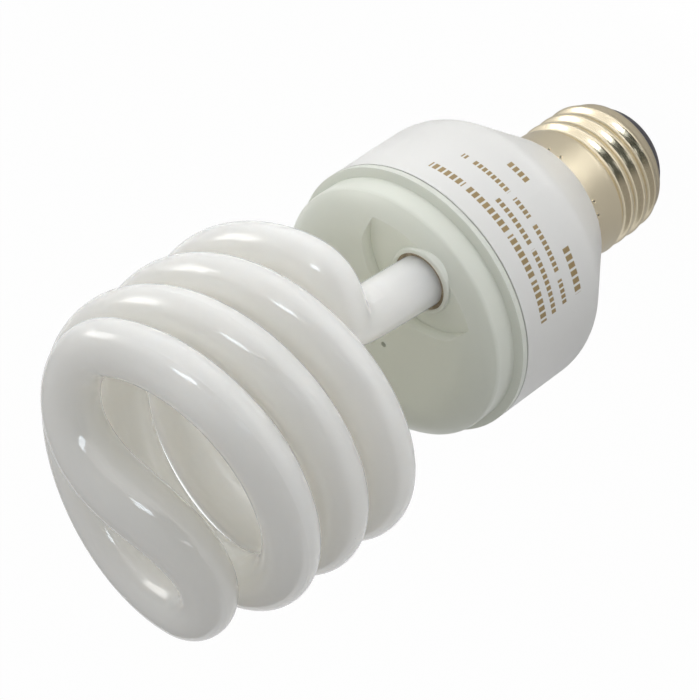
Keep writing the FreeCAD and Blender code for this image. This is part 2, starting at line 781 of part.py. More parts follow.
def circuit_board():
    return Part.makeCylinder(BOARD_RADIUS, BOARD_THICKNESS, vec(0, 0, BOARD_Z))


def board_place(direction, inset):
    """A point under the board, inset from the inside of the housing."""
    place = polar(INSIDE_RADIUS - inset, direction, 0)
    return place.x, place.y


def hanging_lead(x, y, low):
    """Straight lead from a part up to the underside of the board."""
    return Part.makeCylinder(LEAD_RADIUS, BOARD_Z - low, vec(x, y, low))


def bus_capacitor():
    top = BOARD_Z - BUS_CAP_STANDOFF
    can = Part.makeCylinder(BUS_CAP_RADIUS, BUS_CAP_LENGTH, vec(0, 0, top - BUS_CAP_LENGTH))
    can = can.makeFillet(BUS_CAP_EDGE, [e for e in can.Edges if e.isClosed()])
    leads = [hanging_lead(side * BUS_CAP_LEAD_PITCH / 2, 0, top - LEAD_SINK) for side in (-1, 1)]
    return can.fuse(leads)


def choke_frame():
    """Middle of the choke's upper edge, and the height of its windows."""
    x, y = board_place(CHOKE_DIRECTION, CHOKE_INSET)
    return x, y, BOARD_Z - CHOKE_STANDOFF, CHOKE_HEIGHT - 2 * CHOKE_YOKE


def choke_core():
    x, y, top, window = choke_frame()
    low = top - CHOKE_HEIGHT
    core = box((x, y, low), (CHOKE_WIDTH, CHOKE_DEPTH, CHOKE_HEIGHT))
    opening = (CHOKE_WIDTH - CHOKE_LEG - 2 * CHOKE_YOKE) / 2
    for side in (-1, 1):
        middle = x + side * (CHOKE_LEG + opening) / 2
        core = core.cut(box((middle, y, low + CHOKE_YOKE), (opening, CHOKE_DEPTH, window)))
    return core


def bobbin_sizes():
    """Bore and outside of the bobbin's tube, and its flange, each as (width, depth)."""
    bore = (CHOKE_LEG + 2 * CHOKE_CLEARANCE, CHOKE_DEPTH + 2 * CHOKE_CLEARANCE)
    outside = (bore[0] + 2 * BOBBIN_WALL, bore[1] + 2 * BOBBIN_WALL)
    flange = (CHOKE_WIDTH - 2 * CHOKE_YOKE - 2 * CHOKE_CLEARANCE, BOBBIN_DEPTH)
    return bore, outside, flange


def choke_bobbin():
    x, y, top, window = choke_frame()
    bore, outside, flange = bobbin_sizes()
    high = top - CHOKE_YOKE - CHOKE_CLEARANCE
    low = high - window + 2 * CHOKE_CLEARANCE
    body = box((x, y, low), outside + (high - low,))
    body = body.fuse([box((x, y, z), flange + (BOBBIN_FLANGE,)) for z in (low, high - BOBBIN_FLANGE)])
    body = body.cut(box((x, y, low), bore + (high - low,)))
    for sx in (-1, 1):
        for sy in (-1, 1):
            px = x + sx * (flange[0] - BOBBIN_PIN_SIZE) / 2
            py = y + sy * (flange[1] - BOBBIN_PIN_SIZE) / 2
            pin_size = (BOBBIN_PIN_SIZE, BOBBIN_PIN_SIZE, BOARD_Z - high + BOBBIN_FLANGE)
            body = body.fuse(box((px, py, high - BOBBIN_FLANGE), pin_size))
    return body.removeSplitter()


def choke_winding():
    x, y, top, window = choke_frame()
    bore, outside, flange = bobbin_sizes()
    high = top - CHOKE_YOKE - CHOKE_CLEARANCE - BOBBIN_FLANGE
    low = top - CHOKE_YOKE - window + CHOKE_CLEARANCE + BOBBIN_FLANGE
    size = (flange[0] - 2 * WINDING_MARGIN, flange[1] - 2 * WINDING_MARGIN, high - low)
    coil = box((x, y, low), size)
    upright = [e for e in coil.Edges if abs(e.tangentAt(e.FirstParameter).z) > 0.9]
    coil = coil.makeFillet(WINDING_EDGE, upright)
    return coil.cut(box((x, y, low), outside + (high - low,)))


def ring_heights():
    """Lower and upper face of the ring core, which hangs by its turns."""
    high = BOARD_Z - RING_WIRE - RING_CLEARANCE
    return high - RING_HEIGHT, high


def ring_core():
    low, high = ring_heights()
    core = ring(RING_RADIUS, RING_BORE_RADIUS, low, high)
    core.translate(vec(*board_place(RING_DIRECTION, RING_INSET), 0))
    return core


def ring_windings():
    """Separate turns of wire about the ring core, in three groups."""
    low, high = ring_heights()
    gap = RING_CLEARANCE
    width = RING_RADIUS - RING_BORE_RADIUS + 2 * gap
    height = high - low + 2 * gap
    middle = (RING_RADIUS + RING_BORE_RADIUS) / 2
    turns = []
    for i in range(RING_TURNS):
        outer_size = (width + 2 * RING_WIRE, RING_WIRE, height + 2 * RING_WIRE)
        outer = box((middle, 0, low - gap - RING_WIRE), outer_size)
        inner = box((middle, 0, low - gap), (width, RING_WIRE, height))
        turn = outer.cut(inner)
        group_turn = 360 / RING_GROUPS * (i % RING_GROUPS)
        turn.rotate(CENTRE, Z_AXIS, group_turn + RING_TURN_STEP * (i // RING_GROUPS))
        turn.translate(vec(*board_place(RING_DIRECTION, RING_INSET), 0))
        turns.append(turn)
    return Part.makeCompound(turns)


def power_transistors():
    transistors = []
    low = BOARD_Z - TRANSISTOR_STANDOFF - TRANSISTOR_SIZE[2]
    x = TRANSISTOR_INSET - INSIDE_RADIUS
    lead_foot = low + TRANSISTOR_SIZE[2] - LEAD_SINK
    for side in (-1, 1):
        y = side * TRANSISTOR_SPACING / 2
        body = rounded_box((x, y, low), TRANSISTOR_SIZE, TRANSISTOR_EDGE)
        leads = [hanging_lead(x, y + i * TRANSISTOR_LEAD_PITCH, lead_foot) for i in (-1, 0, 1)]
        transistors.append(body.fuse(leads))
    return Part.makeCompound(transistors)


def film_capacitor(place, size):
    """Dipped film capacitor that hangs by two leads."""
    low = BOARD_Z - FILM_CAP_STANDOFF - size[2]
    body = rounded_box((place[0], place[1], low), size, FILM_CAP_EDGE)
    reach = size[0] / 2 - 2 * FILM_CAP_EDGE
    leads = [hanging_lead(place[0] + side * reach, place[1], low + size[2] - LEAD_SINK) for side in (-1, 1)]
    return body.fuse(leads)


def film_capacitors():
    places = [board_place(direction, FILM_CAP_INSET) for direction in FILM_CAP_DIRECTIONS]
    return Part.makeCompound([film_capacitor(place, FILM_CAP_SIZE) for place in places])


def filter_core():
    """Drum of the input choke, on two short leads."""
    high = BOARD_Z - DRUM_STANDOFF
    low = high - DRUM_HEIGHT
    x, y = board_place(DRUM_DIRECTION, DRUM_INSET)
    drum = Part.makeCylinder(DRUM_RADIUS, DRUM_HEIGHT, vec(0, 0, low))
    waist = ring(DRUM_RADIUS, DRUM_HUB_RADIUS, low + DRUM_FLANGE, high - DRUM_FLANGE)
    drum = drum.cut(waist)
    drum.translate(vec(x, y, 0))
    leads = [hanging_lead(x + side * DRUM_RADIUS / 2, y, high - LEAD_SINK) for side in (-1, 1)]
    return drum.fuse(leads)


def filter_winding():
    high = BOARD_Z - DRUM_STANDOFF
    coil = ring(DRUM_WINDING_RADIUS, DRUM_HUB_RADIUS, high - DRUM_HEIGHT + DRUM_FLANGE, high - DRUM_FLANGE)
    coil.translate(vec(*board_place(DRUM_DIRECTION, DRUM_INSET), 0))
    return coil


def axial_row(y, size):
    """Four small parts side by side on the board."""
    return Part.makeCompound([axial_part(x, y, size, SMALL_PART_SPAN) for x in SMALL_PART_XS])


def axial_part(centre_x, centre_y, size, span):
    """Small part along Y that lies on the board on two leads bent down to it."""
    radius, length = size
    z = BOARD_TOP_Z + radius
    body = Part.makeCylinder(radius, length, vec(centre_x, centre_y - length / 2, z), Y_AXIS)
    body = body.makeFillet(SMALL_PART_EDGE, [e for e in body.Edges if e.isClosed()])
    pieces = []
    for side in (-1, 1):
        start = vec(centre_x, centre_y + side * (length / 2 - LEAD_SINK), z)
        corner = vec(centre_x, centre_y + side * span / 2, z)
        end = vec(centre_x, centre_y + side * span / 2, BOARD_TOP_Z)
        pieces.append(bent_lead([start, corner, end], LEAD_RADIUS))
    return body.fuse(pieces)


def rectifier_diodes():
    return axial_row(-SMALL_PART_ROW, DIODE_SIZE)


def resistors():
    return axial_row(SMALL_PART_ROW, RESISTOR_SIZE)


def diac():
    return axial_part(0, 0, DIAC_SIZE, DIAC_SPAN)


def fuse_resistor():
    """Fusible resistor in the neck, with one lead up to the board."""
    foot = polar(-SIDE_LEAD_RADIUS, SIDE_LEAD_DIRECTION, FUSE_FOOT_Z)
    body = Part.makeCylinder(FUSE_RADIUS, FUSE_LENGTH, foot)
    body = body.makeFillet(FUSE_EDGE, [e for e in body.Edges if e.isClosed()])
    return body.fuse(hanging_lead(foot.x, foot.y, FUSE_FOOT_Z + FUSE_LENGTH - LEAD_SINK))


def live_lead():
    """Wire from the fusible resistor through the insulator to the centre contact."""
    points = [
        polar(-SIDE_LEAD_RADIUS, SIDE_LEAD_DIRECTION, FUSE_FOOT_Z),
        polar(-SIDE_LEAD_RADIUS, SIDE_LEAD_DIRECTION, LEAD_TURN_Z + LIVE_LEAD_RISE),
        vec(0, 0, INSULATOR_TOP + LIVE_LEAD_DROP),
        vec(0, 0, CONTACT_THICKNESS),
    ]
    return bent_lead(points, LEAD_RADIUS, LEAD_SWEEP)


def shell_lead():
    """Wire from the board down past the spigot, bent out to the inside of the shell."""
    reach = thread_radius(LEAD_TURN_Z, SIDE_LEAD_DIRECTION) - SHELL_WALL - SPIGOT_CLEARANCE
    points = [
        polar(SIDE_LEAD_RADIUS, SIDE_LEAD_DIRECTION, BOARD_Z),
        polar(SIDE_LEAD_RADIUS, SIDE_LEAD_DIRECTION, LEAD_TURN_Z),
        polar(reach, SIDE_LEAD_DIRECTION, LEAD_TURN_Z),
    ]
    return bent_lead(points, LEAD_RADIUS, LEAD_SWEEP)


def leg_foot(side):
    """Where one filament wire leaves the flat end of a leg."""
    up = leg_direction()
    across = unit(Y_AXIS - up * Y_AXIS.dot(up))
    return vec(LEG_RADIUS, 0, POCKET_Z) - up * LEG_DEPTH + across * (side * FILAMENT_LEAD_SPACING / 2), up


def wrap_pins():
    """Four square pins on the board, two beside each leg."""
    pins = []
    for side in (-1, 1):
        start, up = leg_foot(side)
        drop = start.z - BOARD_TOP_Z - FILAMENT_LEAD_HEIGHT
        corner = start - up * (drop / up.z)
        pin = box((corner.x, side * PIN_OFFSET, BOARD_TOP_Z), (PIN_SIZE, PIN_SIZE, PIN_HEIGHT))
        pins += [pin, half_turn(pin)]
    return Part.makeCompound(pins)


def filament_leads():
    """Two wires from the end of each leg to their pins."""
    wires = []
    for side in (-1, 1):
        start, up = leg_foot(side)
        drop = start.z - BOARD_TOP_Z - FILAMENT_LEAD_HEIGHT
        corner = start - up * (drop / up.z)
        end = vec(corner.x, side * (PIN_OFFSET - PIN_SIZE / 2), corner.z)
        wire = bent_lead([start, corner, end], FILAMENT_LEAD_RADIUS)
        wires += [wire, half_turn(wire)]
    return Part.makeCompound(wires)


def main():
    os.makedirs("parts", exist_ok=True)
    tube = discharge_tube()
    resonant_place = board_place(RESONANT_CAP_DIRECTION, RESONANT_CAP_INSET)
    nodes = {
        "centre_contact": centre_contact(),
        "base_insulator": base_insulator(),
        "screw_shell": screw_shell(),
        "ballast_housing": ballast_housing(),
        "tube_holder": tube_holder(),
        "discharge_tube": tube,
        "tube_cement": tube_cement(tube),
        "circuit_board": circuit_board(),
        "bus_capacitor": bus_capacitor(),
        "choke_core": choke_core(),
        "choke_bobbin": choke_bobbin(),
        "choke_winding": choke_winding(),
        "ring_core": ring_core(),
        "ring_windings": ring_windings(),
        "power_transistors": power_transistors(),
        "resonant_capacitor": film_capacitor(resonant_place, RESONANT_CAP_SIZE),
        "film_capacitors": film_capacitors(),
        "filter_core": filter_core(),
        "filter_winding": filter_winding(),
        "rectifier_diodes": rectifier_diodes(),
        "resistors": resistors(),
        "diac": diac(),
        "fuse_resistor": fuse_resistor(),
        "live_lead": live_lead(),
        "shell_lead": shell_lead(),
        "wrap_pins": wrap_pins(),
        "filament_leads": filament_leads(),
    }
    for name, shape in nodes.items():
        shape.exportStep(os.path.join("parts", name + ".step"))
        print(name, len(shape.Solids), shape.isValid(), round(shape.Volume, 1))


main()
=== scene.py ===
"""Looks of a spiral energy saving bulb: its finishes, print and stake marks, the light and the camera."""

import logging
import math
from dataclasses import dataclass
from enum import Enum

import bpy
from mathutils import Matrix, Vector


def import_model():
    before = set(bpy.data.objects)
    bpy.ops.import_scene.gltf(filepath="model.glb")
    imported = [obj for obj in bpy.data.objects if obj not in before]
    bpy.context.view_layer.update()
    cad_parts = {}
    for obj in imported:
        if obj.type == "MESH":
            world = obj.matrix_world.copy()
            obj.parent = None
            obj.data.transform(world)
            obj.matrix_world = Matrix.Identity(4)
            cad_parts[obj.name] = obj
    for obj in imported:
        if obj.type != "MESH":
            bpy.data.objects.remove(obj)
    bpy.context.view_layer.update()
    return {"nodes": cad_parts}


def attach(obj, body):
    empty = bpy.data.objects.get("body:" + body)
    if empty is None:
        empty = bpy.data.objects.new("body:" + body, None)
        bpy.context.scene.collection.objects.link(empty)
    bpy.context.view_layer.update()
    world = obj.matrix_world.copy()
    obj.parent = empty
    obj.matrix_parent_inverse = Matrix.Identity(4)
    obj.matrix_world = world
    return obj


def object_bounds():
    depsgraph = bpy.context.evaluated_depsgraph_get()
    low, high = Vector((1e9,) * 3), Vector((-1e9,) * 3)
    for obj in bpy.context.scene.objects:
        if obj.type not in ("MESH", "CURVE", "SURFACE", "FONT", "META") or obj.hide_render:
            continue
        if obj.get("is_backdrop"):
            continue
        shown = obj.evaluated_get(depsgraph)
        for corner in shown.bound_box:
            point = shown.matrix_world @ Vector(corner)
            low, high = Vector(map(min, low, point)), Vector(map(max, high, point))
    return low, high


LOG = logging.getLogger("bulb")
MM = 0.001

Socket = bpy.types.NodeSocket
Colour = tuple[float, float, float]
# A direction in the picture: how far it goes right, up and towards the camera.
Way = tuple[float, float, float]

UP: Way = (0.0, 1.0, 0.0)
WHITE = (1.0, 1.0, 1.0, 1.0)

# Where the Mix node has its two colours and their mixture.
MIX_COLOURS = (6, 7)
MIX_RESULT = 2


class Sheet:
    """A node tree that is filled from left to right."""

    def __init__(self, tree: bpy.types.NodeTree) -> None:
        """Keeps the tree and clears it.

        Args:
            tree: The node tree to fill.
        """
        self.tree = tree
        tree.nodes.clear()

    def put(self, socket: Socket, value: object) -> None:
        """Links an input to another socket, or sets its value.

        Args:
            socket: The input.
            value: A socket or a plain value.
        """
        if isinstance(value, Socket):
            self.tree.links.new(value, socket)
        else:
            socket.default_value = value

    def add(self, kind: str, settings: dict | None = None, **inputs: object) -> bpy.types.Node:
        """Adds a node and sets or links its inputs.

        Args:
            kind: The node's type, such as ShaderNodeMath.
            settings: The node's own properties.
            **inputs: Values or sockets by input name, with underscores for spaces, or iN for input number N.

        Returns:
            The new node.
        """
        node = self.tree.nodes.new(kind)
        for key, value in (settings or {}).items():
            setattr(node, key, value)
        for key, value in inputs.items():
            numbered = key[0] == "i" and key[1:].isdigit()
            self.put(node.inputs[int(key[1:]) if numbered else key.replace("_", " ")], value)
        return node

    def group(self, tree: bpy.types.NodeTree, **inputs: object) -> Socket:
        """Places a node group.

        Args:
            tree: The group.
            **inputs: Values or sockets by input name.

        Returns:
            The socket of what the group gives.
        """
        return self.add("ShaderNodeGroup", {"node_tree": tree}, **inputs).outputs[0]

    def math(self, operation: str, *values: object) -> Socket:
        """Adds a maths node.

        Args:
            operation: The operation, such as MULTIPLY.
            *values: Numbers or sockets, in order.

        Returns:
            The result's socket.
        """
        inputs = {f"i{i}": value for i, value in enumerate(values)}
        return self.add("ShaderNodeMath", {"operation": operation}, **inputs).outputs[0]

    def ramp(self, value: object, low: float, high: float) -> Socket:
        """Maps a value smoothly from 0 at low to 1 at high.

        Args:
            value: The value's socket.
            low: Where the result is 0.
            high: Where the result is 1.

        Returns:
            The result's socket.
        """
        settings = {"interpolation_type": "SMOOTHSTEP"}
        return self.add("ShaderNodeMapRange", settings, i0=value, i1=low, i2=high).outputs[0]

    def band(self, value: object, middle: float, half: float, edge: float) -> Socket:
        """Masks where a value is near a middle.

        Args:
            value: The value's socket.
            middle: The band's middle.
            half: Half the band's width.
            edge: Half the width of its soft edge.

        Returns:
            The mask's socket.
        """
        off = self.math("ABSOLUTE", self.math("SUBTRACT", value, middle))
        return self.ramp(off, half + edge, half - edge)

    def noise(self, place: object, scale: object, detail: float) -> Socket:
        """Adds a noise texture.

        Args:
            place: The socket of the coordinates.
            scale: The noise's scale, or its socket.
            detail: How many finer layers it has.

        Returns:
            The socket of its value.
        """
        return self.add("ShaderNodeTexNoise", Vector=place, Scale=scale, Detail=detail).outputs[0]

    def blend(self, share: Socket, first: object, second: object) -> Socket:
        """Mixes two colours.

        Args:
            share: The socket of how much of the second colour shows.
            first: The first colour or its socket.
            second: The second colour or its socket.

        Returns:
            The mixed colour's socket.
        """
        node = self.add("ShaderNodeMix", {"data_type": "RGBA"}, i0=share)
        for index, colour in zip(MIX_COLOURS, (first, second)):
            self.put(node.inputs[index], colour if isinstance(colour, Socket) else (*colour, 1.0))
        return node.outputs[MIX_RESULT]

    def mix(self, share: Socket, first: bpy.types.Node, second: bpy.types.Node) -> bpy.types.Node:
        """Mixes two shaders.

        Args:
            share: The socket of how much of the second shader shows.
            first: The first shader.
            second: The second shader.

        Returns:
            The mixed shader.
        """
        return self.add("ShaderNodeMixShader", i0=share, i1=first.outputs[0], i2=second.outputs[0])


def group_sheet(name: str, values: dict[str, float], output: str) -> Sheet:
    """Makes a shader node group that takes a place and some values, and gives one value.

    Args:
        name: The group's name.
        values: Name and default of each value that it takes.
        output: The name of what it gives.

    Returns:
        The group's sheet, still without nodes.
    """
    tree = bpy.data.node_groups.new(name, "ShaderNodeTree")
    tree.interface.new_socket(name="Vector", in_out="INPUT", socket_type="NodeSocketVector")
    for label, default in values.items():
        socket = tree.interface.new_socket(name=label, in_out="INPUT", socket_type="NodeSocketFloat")
        socket.default_value = default
    tree.interface.new_socket(name=output, in_out="OUTPUT", socket_type="NodeSocketFloat")
    return Sheet(tree)


@dataclass(frozen=True)
class PrintRow:
    """One row of small blocks printed round the housing, whose bars and gaps are in degrees."""

    height_mm: float
    start: float
    bars: tuple[float, ...]
    gap: float
    tall_mm: float
    pitch_mm: float


PRINT_ROWS = (
    PrintRow(57.2, start=-44.8, bars=(17.6, 18.2, 23.4, 16.6), gap=1.6, tall_mm=1.5, pitch_mm=1.31),
    PrintRow(54.4, start=-44.3, bars=(27.5, 21.2), gap=2.4, tall_mm=1.1, pitch_mm=1.12),
    PrintRow(51.4, start=-43.2, bars=(10.2, 20.6, 9.2, 18.8, 2.4), gap=3.2, tall_mm=1.1, pitch_mm=1.04),
    PrintRow(46.6, start=5.4, bars=(11.0,), gap=0.0, tall_mm=1.3, pitch_mm=1.25),
    PrintRow(47.6, start=-43.0, bars=(19.6,), gap=0.0, tall_mm=1.6, pitch_mm=1.48),
)
PRINT_RADIUS_MM = 26.0
PRINT_EDGE_MM = 0.08
# A block's middle, half its length and half its soft edge, as shares of the row's pitch.
BLOCK_MIDDLE = 0.5
BLOCK_HALF = 0.34
BLOCK_EDGE = 0.07

FINE_DETAIL = 3.0
WAVE_DETAIL = 2.0
# The grain's waves: their scale as a share of the fine part's, and their share of the height.
WAVE_SCALE = 0.12
WAVE_SHARE = 0.6
RELIEF_DEPTH_MM = 0.05
CLOUD_EDGES = (0.35, 0.65)
SPECK_COLOUR: Colour = (0.25, 0.22, 0.18)
SUBSURFACE_RADIUS: Colour = (1.0, 0.95, 0.9)
# Painted shade along the outline: where a surface is seen edge-on, its colour turns to its rim colour.
RIM_SHADE_EDGES = (0.75, 0.97)
RIM_SHADE_BLEND = 0.5


class Effects:
    """Node groups that several finishes share."""

    def __init__(self) -> None:
        """Builds each group once."""
        self.grain = self.build_grain()
        self.specks = self.build_specks()
        self.clouds = self.build_clouds()
        self.printing = self.build_printing()

    @staticmethod
    def build_grain() -> bpy.types.NodeTree:
        """Makes the fine moulded texture, as a height between 0 and 1.

        Returns:
            The group.
        """
        sheet = group_sheet("moulded_grain", {"Scale": 900.0}, "Height")
        source = sheet.add("NodeGroupInput").outputs
        fine = sheet.noise(source["Vector"], source["Scale"], FINE_DETAIL)
        coarse = sheet.math("MULTIPLY", source["Scale"], WAVE_SCALE)
        waves = sheet.noise(source["Vector"], coarse, WAVE_DETAIL)
        height = sheet.math("MULTIPLY_ADD", waves, WAVE_SHARE, sheet.math("MULTIPLY", fine, 1 - WAVE_SHARE))
        sheet.add("NodeGroupOutput", i0=height)
        return sheet.tree

    @staticmethod
    def build_specks() -> bpy.types.NodeTree:
        """Makes rare small dots of dust, as a mask.

        Returns:
            The group.
        """
        sheet = group_sheet("dust_specks", {"Scale": 200.0, "Size": 0.06, "Share": 0.1}, "Mask")
        source = sheet.add("NodeGroupInput").outputs
        cells = sheet.add("ShaderNodeTexVoronoi", Vector=source["Vector"], Scale=source["Scale"]).outputs
        near = sheet.math("LESS_THAN", cells["Distance"], source["Size"])
        draw = sheet.add("ShaderNodeSeparateColor", i0=cells["Color"]).outputs[0]
        chosen = sheet.math("LESS_THAN", draw, source["Share"])
        sheet.add("NodeGroupOutput", i0=sheet.math("MULTIPLY", near, chosen))
        return sheet.tree

    @staticmethod
    def build_clouds() -> bpy.types.NodeTree:
        """Makes broad soft patches, as a mask between 0 and 1.

        Returns:
            The group.
        """
        sheet = group_sheet("soft_clouds", {"Scale": 40.0}, "Mask")
        source = sheet.add("NodeGroupInput").outputs
        noise = sheet.noise(source["Vector"], source["Scale"], FINE_DETAIL)
        sheet.add("NodeGroupOutput", i0=sheet.ramp(noise, *CLOUD_EDGES))
        return sheet.tree

    @staticmethod
    def build_printing() -> bpy.types.NodeTree:
        """Makes rows of small blocks round the bulb's axis, as a mask.

        Returns:
            The group.
        """
        sheet = group_sheet("printed_blocks", {}, "Mask")
        source = sheet.add("NodeGroupInput").outputs
        x, y, z = sheet.add("ShaderNodeSeparateXYZ", i0=source["Vector"]).outputs
        round_mm = sheet.math("MULTIPLY", sheet.math("ARCTAN2", y, x), PRINT_RADIUS_MM)
        height_mm = sheet.math("MULTIPLY", z, 1 / MM)
        mask: object = 0.0
        for row in PRINT_ROWS:
            inside = sheet.band(height_mm, row.height_mm, row.tall_mm / 2, PRINT_EDGE_MM)
            start = row.start
            bars: object = 0.0
            for bar in row.bars:
                middle = math.radians(start + bar / 2) * PRINT_RADIUS_MM
                half = math.radians(bar / 2) * PRINT_RADIUS_MM
                bars = sheet.math("ADD", sheet.band(round_mm, middle, half, PRINT_EDGE_MM), bars)
                start += bar + row.gap
            step = sheet.math("FRACT", sheet.math("MULTIPLY", round_mm, 1 / row.pitch_mm))
            blocks = sheet.math("MULTIPLY", bars, sheet.band(step, BLOCK_MIDDLE, BLOCK_HALF, BLOCK_EDGE))
            mask = sheet.math("MULTIPLY_ADD", inside, blocks, mask)
        sheet.add("NodeGroupOutput", i0=mask)
        return sheet.tree


@dataclass(frozen=True)
class Finish:
    """A surface: its colours, its gloss and its fine relief."""

    name: str
    colour: Colour
    second: Colour
    roughness: float
    metallic: float = 0.0
    grain: float = 0.0
    grain_scale: float = 900.0
    cloud_scale: float = 40.0
    specks: float = 0.0
    subsurface: float = 0.0
    subsurface_mm: float = 2.0
    ior: float = 1.5
    # Rim colour: painted shade mixed in along the outline, where the surface is seen edge-on.
    rim: Colour | None = None
    printed: Colour | None = None

    def paint(self, sheet: Sheet, effects: Effects, place: Socket) -> Socket:
        """Adds the nodes that give the surface its colour.

        Args:
            sheet: The material's node sheet.
            effects: The shared node groups.
            place: The socket of the object coordinates.

        Returns:
            The colour's socket.
        """
        patches = sheet.group(effects.clouds, Vector=place, Scale=self.cloud_scale)
        colour = sheet.blend(patches, self.colour, self.second)
        if self.specks:
            dots = sheet.group(effects.specks, Vector=place, Share=self.specks)
            colour = sheet.blend(dots, colour, SPECK_COLOUR)
        if self.printed:
            marks = sheet.group(effects.printing, Vector=place)
            colour = sheet.blend(marks, colour, self.printed)
        # Painted shade: towards the outline, where the surface is seen edge-on, the colour turns to the rim
        # colour.
        if self.rim:
            facing = sheet.add("ShaderNodeLayerWeight", Blend=RIM_SHADE_BLEND).outputs["Facing"]
            colour = sheet.blend(sheet.ramp(facing, *RIM_SHADE_EDGES), colour, self.rim)
        return colour

    def build(self, effects: Effects) -> bpy.types.Material:
        """Makes the material.

        Args:
            effects: The shared node groups.

        Returns:
            The material.
        """
        material = bpy.data.materials.new(self.name)
        material.use_nodes = True
        sheet = Sheet(material.node_tree)
        place = sheet.add("ShaderNodeTexCoord").outputs["Object"]
        shader = sheet.add(
            "ShaderNodeBsdfPrincipled",
            Base_Color=self.paint(sheet, effects, place),
            Roughness=self.roughness,
            Metallic=self.metallic,
            IOR=self.ior,
        )
        if self.subsurface:
            shader.inputs["Subsurface Weight"].default_value = self.subsurface
            shader.inputs["Subsurface Radius"].default_value = SUBSURFACE_RADIUS
            shader.inputs["Subsurface Scale"].default_value = self.subsurface_mm * MM
        if self.grain:
            height = sheet.group(effects.grain, Vector=place, Scale=self.grain_scale)
            depth = RELIEF_DEPTH_MM * MM
            relief = sheet.add("ShaderNodeBump", Height=height, Strength=self.grain, Distance=depth)
            sheet.put(shader.inputs["Normal"], relief.outputs[0])
        sheet.add("ShaderNodeOutputMaterial", Surface=shader.outputs[0])
        return material


class Skin(Enum):
    """The finish of each visible or hidden kind of piece."""

    TUBE = Finish(
        "coated_glass",
        (0.99, 0.963, 0.87),
        (0.985, 0.958, 0.86),
        0.04,
        specks=0.004,
        subsurface=1.0,
        subsurface_mm=22.0,
        ior=1.7,
        # The rim colour is painted shade along the tube's outline, standing in for how its glass edge looks.
        rim=(0.76, 0.74, 0.78),
    )
    HOLDER = Finish(
        "holder_plastic",
        (0.83, 0.86, 0.775),
        (0.84, 0.87, 0.785),
        0.32,
        grain=0.12,
        subsurface=0.3,
        specks=0.04,
    )
    HOUSING = Finish(
        "housing_plastic",
        (0.88, 0.88, 0.86),
        (0.87, 0.87, 0.85),
        0.28,
        grain=0.06,
        printed=(0.36, 0.25, 0.10),
    )
    SHELL = Finish("nickel_plate", (0.92, 0.82, 0.62), (0.90, 0.80, 0.60), 0.24, metallic=1.0, grain=0.05)
    # Painted shade: the near-black of a punched pit's hollow, given to a small sphere that barely stands out
    # of the skirt.
    PIT_SHADE = Finish("stake_pit_shade", (0.05, 0.045, 0.03), (0.09, 0.08, 0.06), 0.5, grain=0.3)
    INSULATOR = Finish("black_glass", (0.11, 0.10, 0.12), (0.13, 0.12, 0.14), 0.3, grain=0.05)
    CONTACT = Finish("contact_plate", (0.72, 0.68, 0.60), (0.55, 0.52, 0.48), 0.3, metallic=1.0, grain=0.3)
    CEMENT = Finish("brown_cement", (0.30, 0.24, 0.16), (0.45, 0.38, 0.28), 0.8, grain=1.0, cloud_scale=900.0)
    BOARD = Finish("tan_laminate", (0.55, 0.38, 0.18), (0.50, 0.34, 0.15), 0.6, grain=0.3)
    SLEEVE = Finish("dark_sleeve", (0.03, 0.035, 0.06), (0.04, 0.045, 0.07), 0.3, grain=0.1)
    FERRITE = Finish("ferrite", (0.06, 0.06, 0.06), (0.10, 0.10, 0.10), 0.75, grain=0.6)
    BOBBIN = Finish("black_nylon", (0.04, 0.04, 0.04), (0.05, 0.05, 0.05), 0.5, grain=0.2)
    COPPER = Finish("enamelled_copper", (0.62, 0.27, 0.10), (0.55, 0.22, 0.08), 0.3, metallic=1.0, grain=0.6)
    EPOXY = Finish("black_epoxy", (0.03, 0.03, 0.03), (0.045, 0.045, 0.045), 0.55, grain=0.4)
    DIP = Finish("brown_dip", (0.36, 0.08, 0.04), (0.30, 0.06, 0.03), 0.25, grain=0.2)
    LACQUER = Finish("beige_lacquer", (0.60, 0.48, 0.32), (0.55, 0.43, 0.28), 0.4, grain=0.2)
    DIODE = Finish("amber_glass", (0.40, 0.12, 0.05), (0.34, 0.10, 0.04), 0.15, grain=0.05)
    WIRE = Finish("tinned_wire", (0.72, 0.71, 0.69), (0.60, 0.59, 0.57), 0.3, metallic=1.0, grain=0.2)


NODE_SKINS: dict[str, Skin] = {
    "centre_contact": Skin.CONTACT,
    "base_insulator": Skin.INSULATOR,
    "screw_shell": Skin.SHELL,
    "ballast_housing": Skin.HOUSING,
    "tube_holder": Skin.HOLDER,
    "discharge_tube": Skin.TUBE,
    "tube_cement": Skin.CEMENT,
    "circuit_board": Skin.BOARD,
    "bus_capacitor": Skin.SLEEVE,
    "choke_core": Skin.FERRITE,
    "choke_bobbin": Skin.BOBBIN,
    "choke_winding": Skin.COPPER,
    "ring_core": Skin.FERRITE,
    "ring_windings": Skin.COPPER,
    "power_transistors": Skin.EPOXY,
    "resonant_capacitor": Skin.DIP,
    "film_capacitors": Skin.DIP,
    "filter_core": Skin.FERRITE,
    "filter_winding": Skin.COPPER,
    "rectifier_diodes": Skin.EPOXY,
    "resistors": Skin.LACQUER,
    "diac": Skin.DIODE,
    "fuse_resistor": Skin.LACQUER,
    "live_lead": Skin.WIRE,
    "shell_lead": Skin.WIRE,
    "wrap_pins": Skin.WIRE,
    "filament_leads": Skin.WIRE,
}


